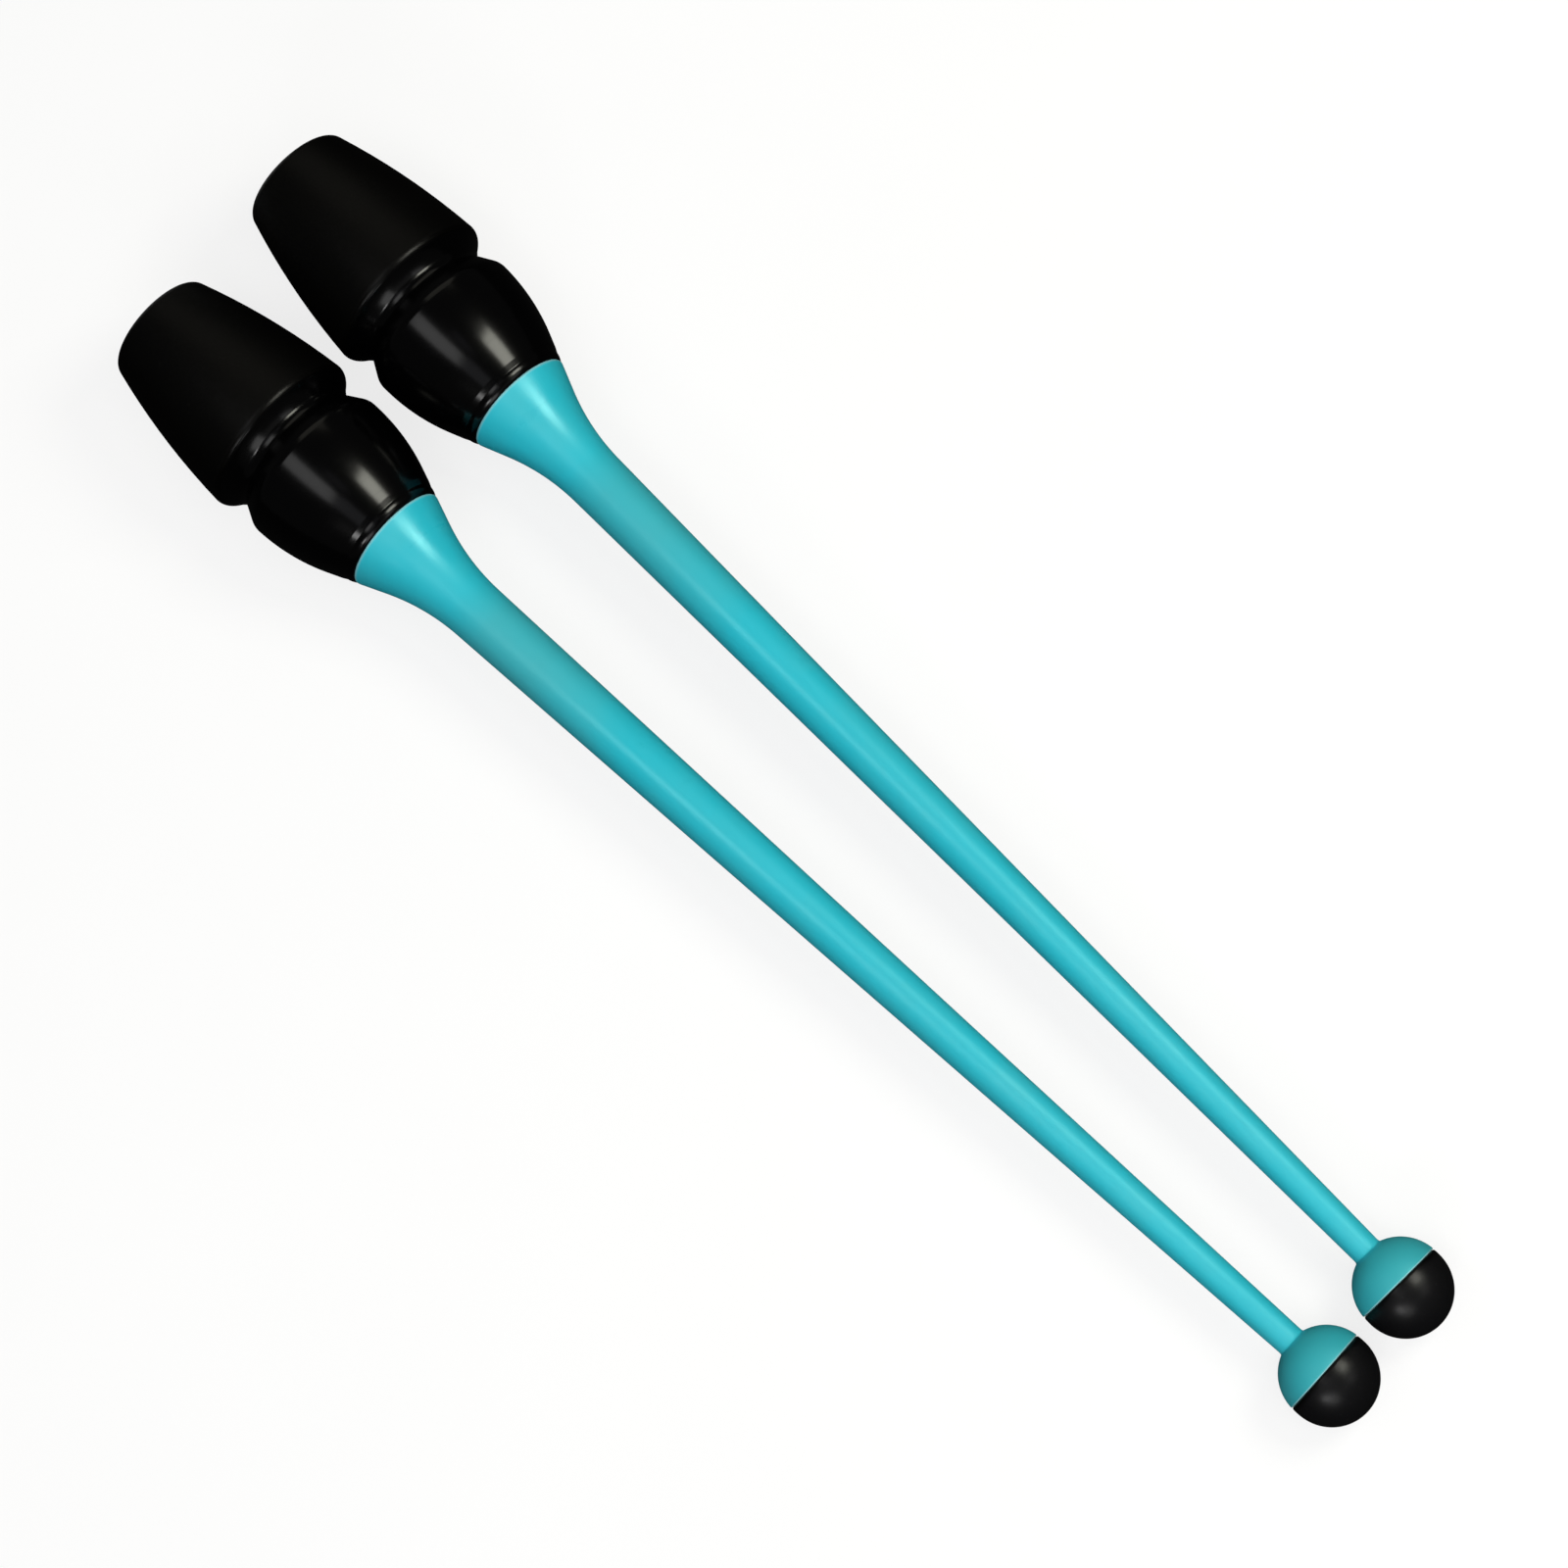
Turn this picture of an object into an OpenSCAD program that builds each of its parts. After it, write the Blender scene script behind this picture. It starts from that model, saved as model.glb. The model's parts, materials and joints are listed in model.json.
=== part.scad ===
// A pair of connectable rhythmic gymnastics clubs, lying side by side on a floor.
// Each club is a turned shape: a barrel-shaped grip end with a ball socket in its base,
// a groove, a glossy bulb, a bell that runs into a long tapered neck, and a ball head.
// Millimetres. +X runs from the bases to the balls, +Z is up, the floor is z = 0.
// A club is drawn along its own axis: "along" is the distance from the base face.

/* [Club] */
// Length of one club from base face to ball tip
overall_len = 445; // [400:1:500]

/* [Pair on the floor] */
// Distance between the two club axes at the base faces
base_spacing = 56.6; // [54:0.1:90]
// Angle between the two club axes, closing towards the balls
pair_angle = 3.56; // [0:0.01:3.8]
// How far club B lies ahead of club A
stagger = 1.8; // [0:0.1:20]

/* [Barrel] */
// Radius of the edge between base face and barrel
base_edge_r = 2.6; // [2.4:0.1:4]
// Distance from the base face to the widest ring of the barrel
barrel_len = 47.5; // [46:0.1:60]
// Diameter at the widest ring of the barrel
shoulder_d = 50.4; // [49:0.1:54]
// Crowning radius of the barrel wall
barrel_crown_r = 220; // [150:5:400]
// Radius of the barrel's front edge
shoulder_r = 2.8; // [2.5:0.1:3]
// How far the matte grip sleeve reaches past that ring
sleeve_over = 1.7; // [0:0.1:1.8]

/* [Groove and bulb] */
// Distance from the widest ring to the middle of the groove
groove_gap = 7.2; // [6.8:0.1:9]
// Diameter at the bottom of the groove
groove_d = 41.1; // [39:0.1:43]
// Radius of the groove's bottom
groove_r = 3; // [2.5:0.1:3.4]
// Distance from the groove to the bulb's widest ring
bulb_gap = 7.9; // [7:0.1:10]
// Diameter at the bulb's widest ring
bulb_d = 47.6; // [45:0.1:49]
// Radius of the bulb's back edge
bulb_back_r = 4.5; // [3:0.1:5]
// Crowning radius of the bulb
bulb_crown_r = 60; // [52:1:68]
// Angle of the straight flank that joins bulb and bell
flank_angle = 21.4; // [19:0.1:23]
// Length of that flank that belongs to the bulb
bulb_flank = 8.5; // [5:0.1:12]

/* [Neck] */
// Radius of the bell where the flank runs into the neck
bell_r = 66; // [50:1:90]
// Taper of the neck on each side, in degrees
neck_taper = 0.84; // [0.7:0.01:0.95]
// Diameter of the neck where it meets the ball
neck_end_d = 8.25; // [7.6:0.05:10]
// Length of the hub that plugs into the body
hub_len = 14; // [12:0.5:24]
// Width of the shoulder ring around the hub
hub_lip = 2.1; // [1.6:0.1:3]
// Diameter of the stiffening rod
rod_d = 3.2; // [2:0.1:4]
// Length of neck left solid between the rod's end and the tip joint
rod_end_gap = 8; // [4:0.5:30]

/* [Ball head] */
// Diameter of the ball
ball_d = 25.5; // [24.5:0.1:27]
// Length of the straight band between the ball's two halves
ball_band = 1.2; // [0.4:0.1:2]
// Distance from the tip joint forward to the ball's band
tip_back = 1; // [0.4:0.1:3]
// Diameter of the neck's spigot inside the tip
spigot_d = 12; // [9:0.1:15]
// Length of the spigot
spigot_len = 7; // [4:0.5:8]

/* [Skins and joints] */
// Thickness of the grip sleeve and of the bulb skin
skin = 2.2; // [1.6:0.1:2.3]
// Bevel on both sides of each visible joint
bevel = 0.35; // [0.2:0.05:0.5]
// Radial gap between pieces that are plugged together
fit_gap = 0.05; // [0.03:0.01:0.1]

/* [Socket] */
// Radial room around a ball in the socket
socket_clear = 0.2; // [0.1:0.05:0.4]
// Radial bite of the socket's lip on a ball
lip_grip = 0.3; // [0.2:0.05:0.5]
// Length of the lip's straight land
lip_len = 3; // [2.5:0.1:4]
// Chamfer at the socket's mouth
mouth_chamfer = 1; // [0.6:0.1:1.2]
// Wall of the soft socket liner
liner_wall = 1.3; // [1:0.1:1.5]
// Step of the liner's flange outside its wall
flange_step = 0.3; // [0.3:0.05:0.5]
// Diameter of the opening in the liner's seat
seat_hole_d = 17; // [16:0.1:20]

/* [Core and tie screw] */
// Thickness of the web that the tie screw pulls on
web_t = 4; // [3:0.1:6]
// Wall of the core at its front end
core_end_wall = 1; // [0.8:0.1:1.4]
// Diameter of the tie screw's shank
screw_d = 5; // [4:0.1:6]
// Diameter of its head
screw_head_d = 9; // [8:0.1:10]
// Height of its head
screw_head_h = 3.5; // [3:0.1:4]
// Size of the hexagon key, across its corners
key_d = 3.4; // [3:0.1:4]
// Depth of the hexagon recess
key_depth = 2; // [1.5:0.1:2.5]
// Room between a seated ball and the screw head
head_room = 0.8; // [0.5:0.1:3]
// Diameter of the washer
washer_d = 14; // [12:0.1:15]
// Thickness of the washer
washer_t = 1; // [0.8:0.1:1.5]
// Diameter of the threaded insert in the neck's hub
insert_d = 8; // [7.5:0.1:10]
// Length of the threaded insert
insert_len = 10; // [8:0.5:11]

/* [Hidden] */
CLUB_A = 1;
CLUB_B = -1;
// Turn of the outline's arcs from one point to the next
arc_step = 2.5;
// Areas of one profile that join into one piece overlap by this much
overlap = 0.5;
$fn = 96;
black_matte = [0.06, 0.06, 0.055];
black_gloss = [0.02, 0.02, 0.022];
teal = [0.10, 0.68, 0.74];

// Points of an arc from angle a0 to a1. It leaves out its first point if open is true.
function arc(c, r, a0, a1, open = false) =
    let (steps = max(2, ceil(abs(a1 - a0) / arc_step)))
    [for (i = [open ? 1 : 0 : steps]) c + r * dir(a0 + (a1 - a0) * i / steps)];
function dir(a) = [cos(a), sin(a)];
function bearing(p, q) = atan2(q.y - p.y, q.x - p.x);
// Centre at distance d0 from p and d1 from q, on the right of the way from p to q
function apex(p, d0, q, d1) =
    let (
        gap = norm(q - p),
        way = (q - p) / gap,
        foot = (d0 * d0 - d1 * d1 + gap * gap) / (2 * gap)
    )
    p + foot * way + sqrt(d0 * d0 - foot * foot) * [way.y, -way.x];
// Angle between the line of two centres and the straight line that crosses it and touches both arcs
function cross_turn(p, r0, q, r1) = acos((r0 + r1) / norm(q - p));
// A fillet on an inner surface keeps at least this radius
function inner_r(r) = max(0.1, r);

ball_r = ball_d / 2;
ball_front = [overall_len - ball_r, 0];
ball_back = ball_front - [ball_band, 0];

// Socket, liner and core radii follow the ball
socket_r = ball_r + socket_clear;
lip_r = ball_r - lip_grip;
liner_r = socket_r + liner_wall;
core_bore_r = liner_r + fit_gap;
flange_r = core_bore_r + flange_step;

// Centres of the arcs in the body's outline, as [along, radius]
edge_c = [base_edge_r, flange_r];
shoulder_c = [barrel_len, shoulder_d / 2 - shoulder_r];
crown_c = apex(edge_c, barrel_crown_r - base_edge_r, shoulder_c, barrel_crown_r - shoulder_r);
groove_c = [barrel_len + groove_gap, groove_d / 2 + groove_r];
bulb_back_c = [groove_c.x + bulb_gap, bulb_d / 2 - bulb_back_r];
bulb_c = [bulb_back_c.x, bulb_d / 2 - bulb_crown_r];

// Angles at which one arc of the outline hands over to the next
a_edge = bearing(crown_c, edge_c);
a_shoulder = bearing(crown_c, shoulder_c);
a_down = bearing(shoulder_c, groove_c) + cross_turn(shoulder_c, shoulder_r, groove_c, groove_r);
a_up = bearing(groove_c, bulb_back_c) - cross_turn(groove_c, groove_r, bulb_back_c, bulb_back_r);

// The straight flank, seen at a depth below the outer surface
flank_slope = tan(flank_angle);
function flank_start(depth) = bulb_c + (bulb_crown_r - depth) * dir(90 - flank_angle);
function flank_radius(along, depth = 0) =
    let (p = flank_start(depth)) p.y - flank_slope * (along - p.x);
joint_x = flank_start(0).x + bulb_flank;
joint_r = flank_radius(joint_x);

// Outline of the body from the base to the colour joint, at a depth below the outer surface
function body_outline(depth, end) = concat(
    arc(edge_c, inner_r(base_edge_r - depth), 180, a_edge),
    arc(crown_c, barrel_crown_r - depth, a_edge, a_shoulder, open = true),
    arc(shoulder_c, inner_r(shoulder_r - depth), a_shoulder, a_down, open = true),
    arc(groove_c, groove_r + depth, a_down + 180, a_up + 360),
    arc(bulb_back_c, bulb_back_r - depth, a_up + 180, 90),
    arc(bulb_c, bulb_crown_r - depth, 90, 90 - flank_angle, open = true),
    [[end, flank_radius(end, depth)]]
);
// Front edge of the grip sleeve, on the barrel's rounded front edge
sleeve_end = [barrel_len + sleeve_over, shoulder_c.y + sqrt(pow(shoulder_r, 2) - pow(sleeve_over, 2))];

// Neck: where its straight taper meets the ball, and where it would meet the flank
neck_end = [ball_back.x - sqrt(pow(ball_r, 2) - pow(neck_end_d / 2, 2)), neck_end_d / 2];
taper_slope = tan(neck_taper);
bell_corner_x = (joint_r + flank_slope * joint_x - neck_end.y - taper_slope * neck_end.x)
    / (flank_slope - taper_slope);
bell_corner = [bell_corner_x, flank_radius(bell_corner_x)];
bell_reach = bell_r * tan((flank_angle - neck_taper) / 2);
bell_c = bell_corner + bell_reach * dir(180 - flank_angle) + bell_r * dir(90 - flank_angle);

// Ball: the tip joint lies just behind the band
tip_joint_x = ball_back.x - tip_back;
a_tip_joint = 90 + asin(tip_back / ball_r);
tip_joint_r = ball_r * sin(a_tip_joint);

// Hub of the neck in the front of the core
hub_r = joint_r - hub_lip;
hub_bore_r = hub_r + fit_gap;
hub_back_x = joint_x - hub_len;
core_front_x = joint_x - (hub_bore_r + core_end_wall - flank_radius(joint_x, skin)) / flank_slope;

// Socket: the lip's land, a ball held behind it, the screw head behind that ball, then the web
lip_back_x = mouth_chamfer + lip_len;
seated_back_x = lip_back_x + sqrt(pow(ball_r, 2) - pow(lip_r, 2));
seated_front_x = seated_back_x + ball_band;
head_back_x = seated_front_x + ball_r + head_room;
washer_back_x = head_back_x + screw_head_h;
web_back_x = washer_back_x + washer_t;
web_front_x = web_back_x + web_t;
a_seat = asin(seat_hole_d / 2 / socket_r);

// Screw, insert and rod along the axis
insert_front_x = hub_back_x + insert_len;
screw_end_x = insert_front_x - 1;
rod_end_x = tip_joint_x - rod_end_gap;

// How a club lies: its widest ring and its ball both touch the floor
touch_r = shoulder_d / 2 - shoulder_r;
touch_len = ball_front.x - barrel_len;
tilt = atan(touch_r / touch_len) - asin((ball_r - shoulder_r) / norm([touch_r, touch_len]));
axis_height = barrel_len * sin(tilt) + touch_r * cos(tilt) + shoulder_r;
// Share of the axis that runs along X, and the ends of the pair around the base centres
lean = cos(tilt) * cos(pair_angle / 2);
base_overhang = base_edge_r + flange_r * sqrt(1 - lean * lean) - base_edge_r * lean;
ball_reach = ball_front.x * lean + ball_r;
base_x = (base_overhang - ball_reach) / 2;

// Puts a club's piece, drawn along +Z, where that club lies. Club A is on the +Y side.
module lay(club) {
    translate([base_x - club * stagger / 2, club * base_spacing / 2, axis_height])
        rotate([0, 90 + tilt, -club * pair_angle / 2])
            children();
}

// Turns a profile of [along, radius] points about the axis
module turned() {
    rotate_extrude()
        mirror([1, -1])
            intersection() {
                children();
                square([overall_len, overall_len]);
            }
}

// The area between the axis and an outline, taken anticlockwise
module under(points) {
    last = len(points) - 1;
    polygon(concat(
        [[points[0].x, 0], [points[last].x, 0]],
        [for (i = [last : -1 : 0]) points[i]]
    ));
}

// A plain length of round stock
module stock(from, to, radius) {
    translate([from, 0])
        square([to - from, radius]);
}

// The notch that bevels both edges at a joint
module joint_notch(place) {
    translate(place)
        rotate(45)
            square(bevel * sqrt(2), center = true);
}

// The solid body, down to a depth below the outer surface
module body_area(depth, end = joint_x) {
    under(body_outline(depth, end));
}

// Soft matte sleeve over the barrel
module grip_sleeve(club) {
    color(black_matte)
        lay(club) turned() difference() {
            intersection() {
                body_area(0);
                stock(0, sleeve_end.x, shoulder_d);
            }
            body_area(skin);
            stock(0, skin, flange_r);
            joint_notch(sleeve_end);
        }
}

// Glossy skin of the groove and the bulb
module bulb_skin(club) {
    color(black_gloss)
        lay(club) turned() difference() {
            intersection() {
                body_area(0);
                stock(sleeve_end.x, joint_x, shoulder_d);
            }
            body_area(skin, core_front_x);
            stock(0, joint_x, hub_bore_r);
            joint_notch(sleeve_end);
            joint_notch([joint_x, joint_r]);
        }
}

// Stiff tube that carries both skins, with a web for the tie screw
module body_core(club) {
    color("gray")
        lay(club) turned() difference() {
            body_area(skin, core_front_x);
            stock(0, web_back_x, core_bore_r);
            stock(0, joint_x, screw_d / 2 + fit_gap);
            stock(web_front_x, joint_x, hub_bore_r);
        }
}

// Soft liner of the socket: a flange, a lip that grips a ball, and a round seat
module socket_liner(club) {
    color([0.12, 0.12, 0.12])
        lay(club) turned() difference() {
            union() {
                stock(0, skin, flange_r);
                stock(0, web_back_x, liner_r);
            }
            under(concat(
                [[0, lip_r + mouth_chamfer], [mouth_chamfer, lip_r], [lip_back_x, lip_r]],
                [[lip_back_x + socket_r - lip_r, socket_r]],
                arc([seated_front_x, 0], socket_r, 90, a_seat),
                [[web_back_x, seat_hole_d / 2]]
            ));
        }
}

// Socket-head screw that pulls the neck's hub into the core
module tie_screw(club) {
    color("silver")
        lay(club) difference() {
            turned() {
                stock(head_back_x, washer_back_x, screw_head_d / 2);
                stock(head_back_x, screw_end_x, screw_d / 2);
            }
            translate([0, 0, head_back_x])
                cylinder(h = 2 * key_depth, d = key_d, center = true, $fn = 6);
        }
}

// Washer between the screw's head and the core's web
module screw_washer(club) {
    color("gainsboro")
        lay(club) turned() difference() {
            stock(washer_back_x, web_back_x, washer_d / 2);
            stock(washer_back_x, web_back_x, screw_d / 2 + fit_gap);
        }
}

// Threaded brass insert in the neck's hub
module neck_insert(club) {
    color("goldenrod")
        lay(club) turned() difference() {
            stock(hub_back_x, insert_front_x, insert_d / 2);
            stock(hub_back_x, insert_front_x, screw_d / 2 + fit_gap);
        }
}

// Moulded neck: hub, bell, taper, the ball's back half and the spigot for the tip
module neck(club) {
    color(teal)
        lay(club) turned() difference() {
            union() {
                stock(hub_back_x, joint_x + overlap, hub_r);
                under(concat(
                    [[joint_x, joint_r]],
                    arc(bell_c, bell_r, 270 - flank_angle, 270 - neck_taper),
                    [neck_end],
                    arc(ball_back, ball_r, 180 - asin(neck_end.y / ball_r), a_tip_joint, open = true)
                ));
                stock(tip_joint_x - overlap, tip_joint_x + spigot_len, spigot_d / 2);
            }
            stock(hub_back_x, insert_front_x, insert_d / 2 + fit_gap);
            stock(hub_back_x, rod_end_x, rod_d / 2 + fit_gap);
            joint_notch([joint_x, joint_r]);
            joint_notch([tip_joint_x, tip_joint_r]);
        }
}

// Stiffening rod inside the neck
module neck_rod(club) {
    color("beige")
        lay(club) turned() stock(insert_front_x, rod_end_x, rod_d / 2);
}

// Soft front half of the ball
module head_tip(club) {
    color(black_matte)
        lay(club) turned() difference() {
            under(concat(
                arc(ball_back, ball_r, a_tip_joint, 90),
                arc(ball_front, ball_r, 90, 0)
            ));
            stock(tip_joint_x, tip_joint_x + spigot_len, spigot_d / 2 + fit_gap);
            joint_notch([tip_joint_x, tip_joint_r]);
        }
}

grip_sleeve(CLUB_A);  // grip_sleeve_a
bulb_skin(CLUB_A);  // bulb_skin_a
body_core(CLUB_A);  // body_core_a
socket_liner(CLUB_A);  // socket_liner_a
tie_screw(CLUB_A);  // tie_screw_a
screw_washer(CLUB_A);  // screw_washer_a
neck_insert(CLUB_A);  // neck_insert_a
neck(CLUB_A);  // neck_a
neck_rod(CLUB_A);  // neck_rod_a
head_tip(CLUB_A);  // head_tip_a
grip_sleeve(CLUB_B);  // grip_sleeve_b
bulb_skin(CLUB_B);  // bulb_skin_b
body_core(CLUB_B);  // body_core_b
socket_liner(CLUB_B);  // socket_liner_b
tie_screw(CLUB_B);  // tie_screw_b
screw_washer(CLUB_B);  // screw_washer_b
neck_insert(CLUB_B);  // neck_insert_b
neck(CLUB_B);  // neck_b
neck_rod(CLUB_B);  // neck_rod_b
head_tip(CLUB_B);  // head_tip_b
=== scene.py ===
# %% [markdown]
# # A pair of clubs for rhythmic gymnastics
#
# Two clubs lie side by side, bases towards -X and balls towards +X. Each is a turned shape:
# a barrel in a matte rubber sleeve, a groove and a bulb in glossy black, a bell that runs
# into a long teal neck, and a ball whose front half is soft black rubber. The base has a
# socket that a ball snaps into, which is how two clubs join end to end.
#
# The CAD frame says where every part is. This lesson dresses it: the seven parts of each
# club that show are turned again with finer edges, and every surface gets a finish with
# real grain and gloss.

import json
import math

import bmesh
import bpy
from mathutils import Matrix, Vector


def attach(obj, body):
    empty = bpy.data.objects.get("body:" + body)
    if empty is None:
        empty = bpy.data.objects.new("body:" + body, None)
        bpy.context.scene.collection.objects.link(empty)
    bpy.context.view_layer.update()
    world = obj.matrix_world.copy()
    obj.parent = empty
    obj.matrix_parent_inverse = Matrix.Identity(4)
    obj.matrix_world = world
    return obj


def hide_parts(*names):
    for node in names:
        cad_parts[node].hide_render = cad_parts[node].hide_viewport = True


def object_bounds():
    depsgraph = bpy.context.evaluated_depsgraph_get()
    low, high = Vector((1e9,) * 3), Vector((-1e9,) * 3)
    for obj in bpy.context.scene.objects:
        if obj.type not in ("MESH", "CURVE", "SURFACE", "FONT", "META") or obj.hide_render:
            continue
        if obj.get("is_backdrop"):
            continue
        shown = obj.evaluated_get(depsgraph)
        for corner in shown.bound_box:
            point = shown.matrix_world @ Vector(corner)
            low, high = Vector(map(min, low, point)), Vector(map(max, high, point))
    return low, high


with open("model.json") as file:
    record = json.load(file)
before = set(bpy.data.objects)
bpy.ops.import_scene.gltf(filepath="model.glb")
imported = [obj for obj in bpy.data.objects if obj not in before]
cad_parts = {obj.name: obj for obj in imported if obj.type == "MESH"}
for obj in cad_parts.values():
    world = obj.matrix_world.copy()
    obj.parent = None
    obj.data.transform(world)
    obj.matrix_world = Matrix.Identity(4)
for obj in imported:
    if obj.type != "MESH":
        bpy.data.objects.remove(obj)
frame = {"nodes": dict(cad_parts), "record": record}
cad_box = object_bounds()
bodies = {"a": "club_a", "b": "club_b"}
print("CAD box in mm:", [[round(1000 * v, 2) for v in corner] for corner in cad_box])

# %% [markdown]
# ## Where a club lies
#
# A turned part is easiest to think of along its own axis, with the base face at zero. The
# frame's record keeps a mount at each socket with its place and direction. One matrix made
# from it takes any part from club millimetres to the place where that club lies, so no
# position is typed in twice. The axis tilts by two degrees, because a club rests on its
# widest ring and on its ball.

# %% A matrix for each club
MM = 0.001
mounts = {mount["name"]: mount for mount in frame["record"]["mounts"]}
socket_mount_at = 2.5  # the mount sits in the middle of the socket's lip


def club_place(letter):
    """Takes club millimetres (X up, Z along the club) to the frame's metres."""
    socket = mounts["socket_" + letter]
    along = -Vector(socket["axis"]).normalized()
    up = (Vector((0, 0, 1)) - along.z * along).normalized()
    side = along.cross(up)
    base = Vector(socket["pos_m"]) - socket_mount_at * MM * along
    turn = Matrix((up, side, along)).transposed().to_4x4()
    return Matrix.Translation(base) @ turn @ Matrix.Scale(MM, 4)


places = {letter: club_place(letter) for letter in bodies}
for letter, place in places.items():
    print("club", letter, "base at mm", [round(1000 * v, 2) for v in place.translation])

# %% [markdown]
# ## The outline of a club
#
# A maker draws half of the outline once, as arcs that run into each other without a kink,
# and everything turned follows from it. These are the sizes of that drawing in millimetres.
# Each arc hands over to the next at an angle that follows from the two centres, so a change
# of one size keeps the whole line smooth. Only the wall from the widest ring down into the
# groove isn't an arc. It is very slightly hollow, so it stays dark between the bright lines
# of its two edges, where a straight wall would flash all at once.
#
# In the names, d is a diameter, r a radius, c the centre of an arc, x a place along the club
# and a an angle in degrees.

# %% Sizes of the drawing
overall_len = 445
base_edge_r, barrel_len, shoulder_d, barrel_crown_r, shoulder_r = 2.6, 47.5, 50.4, 220, 2.8
sleeve_over = 1.7
groove_gap, groove_d, groove_r = 7.2, 41.1, 3
bulb_gap, bulb_d, bulb_back_r, bulb_crown_r = 7.9, 47.6, 4.5, 60
flank_angle, bulb_flank = 21.4, 8.5
bell_r, neck_taper, neck_end_d = 66, 0.84, 8.25
ball_d, ball_band, tip_back = 25.5, 1.2, 1
hub_len, hub_lip, rod_d, rod_end_gap = 14, 2.1, 3.2, 8
spigot_d, spigot_len = 12, 7
skin, fit_gap = 2.2, 0.05
lip_grip, lip_len, mouth_chamfer, socket_clear = 0.3, 3, 1, 0.2
liner_wall, flange_step, seat_hole_d = 1.3, 0.3, 17
core_end_wall, head_room = 1, 0.8
screw_d, screw_head_d, screw_head_h, key_d, key_depth = 5, 9, 3.5, 3.4, 2
washer_d, washer_t, insert_d, insert_len = 14, 1, 8, 10
print(f"each club is {overall_len} mm long and {shoulder_d} mm wide at its ring")

# %% Arcs and angles
arc_step = 1.5  # degrees from one point of an arc to the next


def ray(angle):
    """A step of length one in the direction of an angle."""
    return Vector((math.cos(math.radians(angle)), math.sin(math.radians(angle))))


def arc(centre, radius, start, end):
    """Points [along, radius] of an arc, from one angle to another."""
    steps = max(3, math.ceil(abs(end - start) / arc_step))
    return [centre + radius * ray(start + (end - start) * i / steps) for i in range(steps + 1)]


def bearing(p, q):
    """The direction from one point to another, in degrees."""
    return math.degrees(math.atan2(q.y - p.y, q.x - p.x))


def apex(p, d0, q, d1):
    """The centre at distance d0 from p and d1 from q, on the right of the way from p to q."""
    gap = (q - p).length
    way = (q - p) / gap
    foot = (d0 * d0 - d1 * d1 + gap * gap) / (2 * gap)
    return p + foot * way + math.sqrt(d0 * d0 - foot * foot) * Vector((way.y, -way.x))


def cross_turn(p, r0, q, r1):
    """Angle between the line of two centres and the straight line that touches both arcs."""
    return math.degrees(math.acos((r0 + r1) / (q - p).length))


print("points on a quarter circle:", len(arc(Vector((0, 0)), 1, 0, 90)))

# %% Centres and hand-over angles
ball_r = ball_d / 2
ball_front = Vector((overall_len - ball_r, 0))
ball_back = ball_front - Vector((ball_band, 0))
socket_r = ball_r + socket_clear
lip_r = ball_r - lip_grip
liner_r = socket_r + liner_wall
flange_r = liner_r + fit_gap + flange_step
edge_c = Vector((base_edge_r, flange_r))
shoulder_c = Vector((barrel_len, shoulder_d / 2 - shoulder_r))
crown_c = apex(edge_c, barrel_crown_r - base_edge_r, shoulder_c, barrel_crown_r - shoulder_r)
groove_c = Vector((barrel_len + groove_gap, groove_d / 2 + groove_r))
bulb_back_c = Vector((groove_c.x + bulb_gap, bulb_d / 2 - bulb_back_r))
bulb_c = Vector((bulb_back_c.x, bulb_d / 2 - bulb_crown_r))
a_edge = bearing(crown_c, edge_c)
a_shoulder = bearing(crown_c, shoulder_c)
a_down = bearing(shoulder_c, groove_c) + cross_turn(shoulder_c, shoulder_r, groove_c, groove_r)
a_up = bearing(groove_c, bulb_back_c) - cross_turn(groove_c, groove_r, bulb_back_c, bulb_back_r)
flank_slope = math.tan(math.radians(flank_angle))
taper_slope = math.tan(math.radians(neck_taper))


def flank_radius(along, depth=0):
    """The radius of the straight flank between bulb and bell, at a depth below its surface."""
    start = bulb_c + (bulb_crown_r - depth) * ray(90 - flank_angle)
    return start.y - flank_slope * (along - start.x)


joint_x = (bulb_c + bulb_crown_r * ray(90 - flank_angle)).x + bulb_flank
joint_r = flank_radius(joint_x)
sleeve_end = shoulder_c + Vector((sleeve_over, math.sqrt(shoulder_r**2 - sleeve_over**2)))
neck_end = Vector((ball_back.x - math.sqrt(ball_r**2 - neck_end_d**2 / 4), neck_end_d / 2))
corner_x = (joint_r + flank_slope * joint_x - neck_end.y - taper_slope * neck_end.x) / (
    flank_slope - taper_slope
)
bell_reach = bell_r * math.tan(math.radians((flank_angle - neck_taper) / 2))
bell_c = Vector((corner_x, flank_radius(corner_x)))
bell_c += bell_reach * ray(180 - flank_angle) + bell_r * ray(90 - flank_angle)
tip_joint_x = ball_back.x - tip_back
a_tip_joint = 90 + math.degrees(math.asin(tip_back / ball_r))
tip_joint_r = ball_r * math.sin(math.radians(a_tip_joint))
print(f"colour joints at {joint_x:.2f} and {tip_joint_x:.2f} mm along the club")

# %% Bends
bend_steps = 8
wall_bend = 8  # degrees by which the wall between ring and groove turns at each of its ends


def curve(start, corner, end, steps):
    """A smooth bend from start to end that heads for the corner on the way."""
    shares = (i / steps for i in range(steps + 1))
    return [start.lerp(corner, t).lerp(corner.lerp(end, t), t) for t in shares]


def bent(start, start_way, end, end_way):
    """A smooth bend between two points that leaves and arrives along the given directions."""
    reach = (end - start).cross(end_way) / start_way.cross(end_way)
    return curve(start, start + reach * start_way, end, bend_steps)


print("points on a bend:", bend_steps + 1)

# %% The outline of the body, at a depth below its surface
sharpest = 0.1  # the least radius that an arc keeps below the surface


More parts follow.
